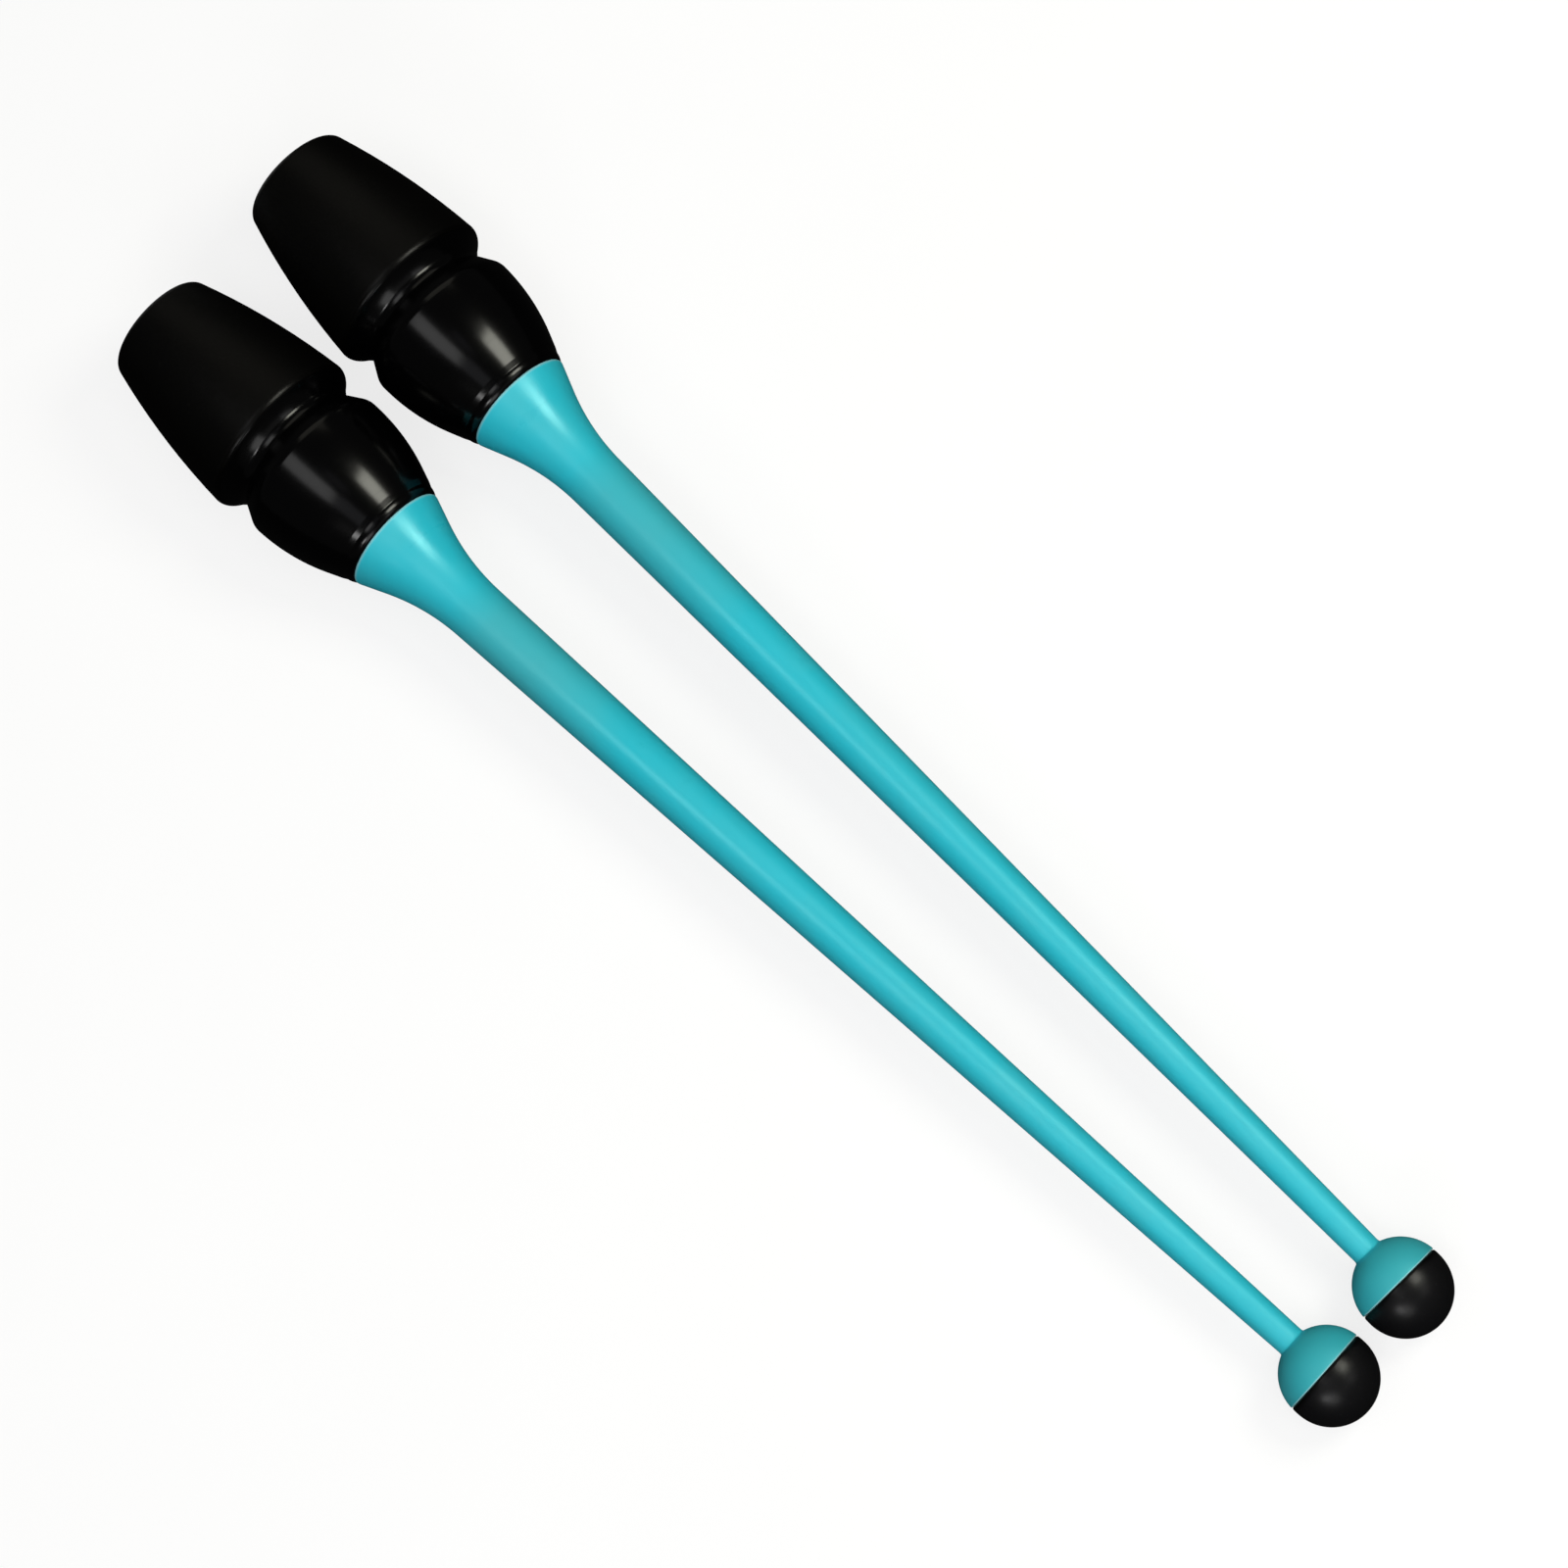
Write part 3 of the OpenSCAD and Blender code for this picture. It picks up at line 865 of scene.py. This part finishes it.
# %% [markdown]
# ## Matte rubber
#
# The sleeve is pulled over the barrel for grip. It is black rubber with a fine blasted
# grain, which scatters light into a dim even sheen instead of a highlight. A trace of dust
# and talc from the gym makes it a little greyer in patches. The sleeve's front edge rides
# just past the widest ring, where the club rubs on the floor, so it is polished there.

# %% Sleeve finish
deep_rubber, greyer_rubber = colour(0.0004, 0.0003, 0.0002), colour(0.0007, 0.0006, 0.0004)
talc = colour(0.02, 0.02, 0.018)


def matte_rubber():
    finish = Finish("matte_rubber", ior=1.5, specular_ior_level=0.16)
    polish = finish.rise(finish.along(), shoulder_c.x + 0.4, shoulder_c.x + 0.8)
    cloud = finish.noise(22, detail=4, rough=0.6)
    dust = finish.ramp(finish.noise(0.9, detail=4, seed=2.0), (0.62, 0.0), (0.75, 1.0))
    grain = finish.noise(0.22, detail=2, seed=4.0)
    shade = finish.tint(0.1 * dust, finish.tint(cloud, deep_rubber, greyer_rubber), talc)
    relief = finish.bump(grain, 0.03)
    rough = 0.38 + 0.08 * cloud + 0.05 * grain - 0.16 * polish
    finish.feed(base_color=shade, roughness=rough, normal=relief)
    finish.keep()


matte_rubber()

# %% [markdown]
# ## Glossy black
#
# Groove and bulb are a hard moulded skin with a polished surface, the shiniest part of the
# club. Lamps show in it as crisp windows. Polished plastic still waves by a few microns over
# some millimetres, which bends those windows slightly, and it collects hairline scratches
# that run round the bulb, because that is how it is wiped.

# %% Bulb finish
deep_black, hazy_black = colour(0.0003, 0.0003, 0.00035), colour(0.0006, 0.0006, 0.0007)


def gloss_black():
    finish = Finish("gloss_black", ior=1.5, specular_ior_level=0.28)
    wave = finish.noise(6.5, detail=1)
    haze = finish.noise(25, detail=3, seed=2.0)
    hair = finish.ramp(finish.hairlines(2500, 60, 60), (0.66, 0.0), (0.72, 1.0))
    shade = finish.tint(haze, deep_black, hazy_black)
    relief = finish.bump(hair, 0.0008, finish.bump(wave, 0.010))
    finish.feed(base_color=shade, roughness=0.16 + 0.04 * haze + 0.06 * hair, normal=relief)
    finish.keep()


gloss_black()

# %% [markdown]
# ## Soft tip, liner and the parts inside
#
# The front half of the ball is a softer rubber than the sleeve and smoother, so it has a
# silky highlight. Where it meets the teal half it is darker, because hardly any light gets
# into the joint. The socket's liner is the same family, moulded a bit rougher. Inside the
# body are a grey glass-filled core, a steel screw and washer, a brass insert and a fibre
# rod. The screw and the washer show their fine turning lines to a look into the socket, and
# the rest is shut in, yet each gets its own finish.

# %% Soft rubbers
lint, shut_black = colour(0.05, 0.05, 0.048), colour(0, 0, 0)


def soft_rubber(name, light, rough, grain_size, is_tip=False):
    finish = Finish(name, ior=1.5, specular_ior_level=0.24)
    cloud = finish.noise(9, detail=4, rough=0.6)
    grain = finish.noise(grain_size, detail=2, seed=3.0)
    speck = finish.ramp(finish.noise(0.7, detail=3, seed=6.0), (0.64, 0.0), (0.74, 1.0))
    shade = finish.tint(cloud, darker(light, 0.8), light)
    shade = finish.tint(0.15 * speck, shade, lint)
    if is_tip:
        # painted shade: the rubber is painted near-black over the two millimetres past the joint,
        # where little light gets in
        joint = 1 - finish.rise(finish.along(), tip_joint_x + 0.5, tip_joint_x + 2.0)
        shade = finish.tint(0.9 * joint, shade, shut_black)
    relief = finish.bump(grain, 0.012)
    finish.feed(base_color=shade, roughness=rough + 0.08 * cloud + 0.04 * grain, normal=relief)
    finish.keep()


soft_rubber("tip_rubber", colour(0.0058, 0.0057, 0.0064), 0.27, 0.25, is_tip=True)
soft_rubber("liner_rubber", colour(0.014, 0.014, 0.014), 0.5, 0.3)

# %% Moulded parts inside


def moulded(name, light, rough, fleck):
    finish = Finish(name, specular_ior_level=0.4)
    cloud = finish.noise(12, detail=3)
    fibre = finish.noise(fleck, detail=3, seed=4.0)
    shade = finish.tint(fibre, darker(light, 0.8), light)
    relief = finish.bump(fibre, 0.01)
    finish.feed(base_color=shade, roughness=rough + 0.1 * cloud + 0.05 * fibre, normal=relief)
    finish.keep()


moulded("core_plastic", colour(0.16, 0.16, 0.165), 0.45, 0.8)
moulded("rod_fibre", colour(0.62, 0.55, 0.38), 0.4, 0.3)

# %% Turned metals


def turned_metal(name, light, rough):
    finish = Finish(name, metallic=1.0)
    cut = finish.hairlines(9000, 150, 150)
    film = finish.noise(5, detail=3, seed=2.0)
    shade = finish.tint(film, darker(light, 0.85), light)
    relief = finish.bump(cut, 0.004)
    finish.feed(base_color=shade, roughness=rough + 0.12 * film + 0.06 * cut, normal=relief)
    finish.keep()


turned_metal("screw_steel", colour(0.56, 0.56, 0.55), 0.26)
turned_metal("insert_brass", colour(0.78, 0.55, 0.25), 0.24)

# %% [markdown]
# ## Turning both clubs
#
# With the lathe, the profiles and the finishes in place, one loop turns the parts of both
# clubs that are seen from outside, and a second one their screws and washers. A screw has
# more steps round than the other parts, so that each of its ridges is a smooth wave. The
# core, the brass insert and the fibre rod are shut inside, so they keep their CAD meshes and
# only get their finishes.

# %% The parts seen from outside
parts = {
    "grip_sleeve": (sleeve_profile, "matte_rubber"),
    "bulb_skin": (bulb_profile, "gloss_black"),
    "socket_liner": (liner_profile, "liner_rubber"),
    "neck": (neck_profile, "teal_plastic"),
    "head_tip": (tip_profile, "tip_rubber"),
}
for letter in bodies:
    for part, (profile, slot) in parts.items():
        node = f"{part}_{letter}"
        dress(node, letter, turned(node, profile, finishes[slot]))

# %% The screws and their washers
steel = finishes["screw_steel"]
for letter in bodies:
    node = "tie_screw_" + letter
    mesh = turned(node, screw_profile, steel, ridge_steps * ridge_count)
    keyed(mesh)
    dress(node, letter, mesh)
    node = "screw_washer_" + letter
    dress(node, letter, turned(node, washer_profile, steel))

# %% The parts that keep their CAD meshes
kept_parts = {
    "body_core": "core_plastic",
    "neck_insert": "insert_brass",
    "neck_rod": "rod_fibre",
}
for letter in bodies:
    for part, slot in kept_parts.items():
        piece = frame["nodes"][f"{part}_{letter}"]
        piece.data.materials.clear()
        piece.data.materials.append(finishes[slot])
        print(piece.name, "keeps its CAD mesh, in", slot)

# %% [markdown]
# ## Light
#
# The ceiling lamp gives the plain even light, and the gloss doesn't mirror it. What the
# gloss does mirror gives the clubs their shape: one bright window high on the +Y side, a
# long dimmer one on the other side, small faint panes in front and overhead that light the
# rims of ring, groove and bead, and a broad dim glow behind the bases that gives the matte
# sleeve its sheen. Between them is darkness, so each pane is small and placed with care.

# %% A helper for the lamps
aim = Vector((-0.14, 0.0, 0.035))  # the middle between the two bulbs, in metres


def lamp(name, toward, distance, size, radiance, tone=(1, 1, 1), mirrored=True):
    """A flat lamp that faces the bulbs. Size is its extent along X and along Y, in metres."""
    toward = Vector(toward).normalized()
    across = (Vector((0, 1, 0)) - toward.y * toward).normalized()
    light = bpy.data.lights.new(name, "AREA")
    light.shape = "RECTANGLE"
    light.size, light.size_y = size
    light.energy = radiance * math.pi * size[0] * size[1]
    light.color = tone
    stand = bpy.data.objects.new(name, light)
    turn = Matrix((across.cross(toward), across, toward)).transposed().to_4x4()
    stand.matrix_world = Matrix.Translation(aim + distance * toward) @ turn
    stand.visible_glossy = mirrored
    bpy.context.scene.collection.objects.link(stand)
    solid_angle = size[0] * size[1] / distance**2
    print(f"{name}: adds {radiance * solid_angle * toward.z / math.pi:.2f} to a level white card")


print("lamps face", [round(v, 3) for v in aim])

# %% Lamps
lamp("ceiling", (0.42, -0.05, 1.0), 1.5, (1.1, 1.1), 2.15, mirrored=False)
lamp("bright window", (0.385, 0.550, 0.755), 1.0, (0.33, 0.35), 11.0, (1.0, 1.0, 0.88))
lamp("long window", (-0.060, -0.333, 0.941), 1.0, (0.66, 0.32), 2.0)
lamp("faint pane", (0.420, -0.290, 0.860), 1.0, (0.28, 0.32), 0.45, (0.9, 0.92, 1.0))
lamp("overhead pane", (0.17, 0.03, 0.98), 1.0, (0.26, 0.14), 0.22, (0.9, 0.88, 1.0))
lamp("side pane", (0.58, -0.62, 0.53), 1.6, (0.25, 0.27), 12.0)
lamp("front pane right", (0.76, -0.42, 0.49), 1.3, (0.44, 0.40), 2.4)
lamp("front pane left", (0.72, 0.40, 0.56), 1.3, (0.24, 0.40), 1.4)
lamp("front glow", (0.80, 0.0, 0.60), 1.3, (0.26, 0.60), 0.2)
lamp("glow behind", (-0.63, 0.44, 0.62), 1.3, (0.8, 0.9), 0.5, (1.0, 0.97, 0.83))

# %% [markdown]
# ## World and floor
#
# White comes from the floor's and the world's own colour as the camera sees it, so that no
# extra light falls on the clubs for the sake of the background. The same white is there for
# rays through glass. Polished black would show a white room as grey all over, so a mirror
# image gets only a small share of the white, as if dark cloths hung round the clubs just
# out of the picture. Only the floor behind the bases keeps its full white in mirror images,
# because the steel in the sockets looks out there. Far from the clubs the floor turns into
# plain white, so that it has no visible end.

# %% World
mirrored_share = 0.05  # of the white that a mirror image gets
fill = 0.03  # light that reaches the clubs from all round


def ray_kinds(nodes):
    """1 or 0 for a ray from the camera or through glass, and the same for a mirror image."""
    kinds = ("Is Camera Ray", "Is Transmission Ray", "Is Glossy Ray")
    seen, through, glossy = (nodes.node("ShaderNodeLightPath", out=kind) for kind in kinds)
    return seen + through, glossy


studio = bpy.data.worlds.new("studio")
studio.use_nodes = True
bpy.context.scene.world = studio
sky = Nodes(studio.node_tree)
direct, mirrored = ray_kinds(sky)
level = fill + (1 - fill) * direct - (fill - mirrored_share) * mirrored
sockets = {"Color": colour(1, 1, 1), "Strength": level}
sky_light = sky.node("ShaderNodeBackground", None, sockets)
sky.node("ShaderNodeOutputWorld", None, {"Surface": sky_light})
print(f"world: {fill} for the clubs, {mirrored_share} in mirror images, 1 for the camera")

# %% The floor's paper
paper_greys = colour(0.22, 0.22, 0.22), colour(0.24, 0.24, 0.24)
paper_glow = 0.79  # what the lit paper needs on top to be white
strip_from, strip_to = -0.27, -0.33  # the strip behind the bases comes in along X
strip_edge, strip_full = 0.08, 0.05  # and its half width, where it ends and where it is full
fade_from, fade_to = 0.5, 1.2  # metres from the middle, where the paper turns plain white

paper = Finish("floor_paper", specular_ior_level=0.0, roughness=0.9)
dapple = paper.noise(60, detail=3)
pulp = paper.noise(0.6, detail=3, seed=2.0)
paper.feed(base_color=paper.tint(dapple, *paper_greys), normal=paper.bump(pulp, 0.01))
direct, mirrored = ray_kinds(paper)
spot = paper.place()
x, y = (paper.node("ShaderNodeSeparateXYZ", None, {0: spot}, out=axis) for axis in "XY")
behind = paper.rise(x, strip_from, strip_to) * paper.rise(y * y, strip_edge**2, strip_full**2)
direct += behind * mirrored
print("paper:", len(paper.tree.nodes), "nodes")

# %% What the paper shows to each kind of ray
glow = paper.node("ShaderNodeEmission", None, {"Strength": paper_glow * direct})
lit = paper.node("ShaderNodeAddShader", None, {0: Wire(paper, paper.shader.outputs[0]), 1: glow})
dim = paper.node("ShaderNodeBsdfDiffuse", None, {"Color": shut_black})
share = (1 - mirrored_share) * mirrored * (1 - behind)
near = paper.node("ShaderNodeMixShader", None, {0: share, 1: lit, 2: dim})
white = paper.node("ShaderNodeEmission", None, {"Strength": 1.0})
away = paper.node("ShaderNodeVectorMath", {"operation": "LENGTH"}, {0: spot}, out=1)
far = paper.rise(away, fade_from, fade_to) * direct
paper.surface(paper.node("ShaderNodeMixShader", None, {0: far, 1: near, 2: white}))
print("paper:", len(paper.tree.nodes), "nodes")

# %% The floor
reach = 4.0
corners = [(-reach, -reach, 0), (reach, -reach, 0), (reach, reach, 0), (-reach, reach, 0)]
sheet = bpy.data.meshes.new("floor")
sheet.from_pydata(corners, [], [(0, 1, 2, 3)])
sheet.materials.append(paper.material)
floor = bpy.data.objects.new("floor", sheet)
bpy.context.scene.collection.objects.link(floor)
floor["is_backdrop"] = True
print(f"floor: {2 * reach} m wide")

# %% [markdown]
# ## Camera
#
# The camera looks down steeply from the ball end, turned so that the clubs run across the
# frame from corner to corner, with a long lens that keeps both clubs nearly parallel.

# %% Camera
lens_mm, film_mm = 87.3, 36.0
eye, eye_turn = (0.2295, -0.0338, 1.0181), (10.404, 8.100, 44.370)  # metres and degrees

lens = bpy.data.cameras.new("camera")
lens.lens, lens.sensor_width = lens_mm, film_mm
camera = bpy.data.objects.new("camera", lens)
camera.location = eye
camera.rotation_euler = [math.radians(v) for v in eye_turn]
bpy.context.scene.collection.objects.link(camera)
bpy.context.scene.camera = camera
bpy.context.scene.view_settings.view_transform = "Standard"
view = math.degrees(2 * math.atan(film_mm / 2 / lens_mm))
print(f"camera: {eye[2]:.2f} m above the floor, sees {view:.1f} degrees")

# %% [markdown]
# ## The size of the dressed object
#
# The dressed object has to stay inside the CAD box. Both boxes are measured, and their
# sizes are printed in millimetres.

# %% Boxes and the end
dressed_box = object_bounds()
boxes = {"cad": [list(v) for v in cad_box], "dressed": [list(v) for v in dressed_box]}
for name, (low, high) in boxes.items():
    print(name, "size in mm:", [round(1000 * (b - a), 2) for a, b in zip(low, high)])
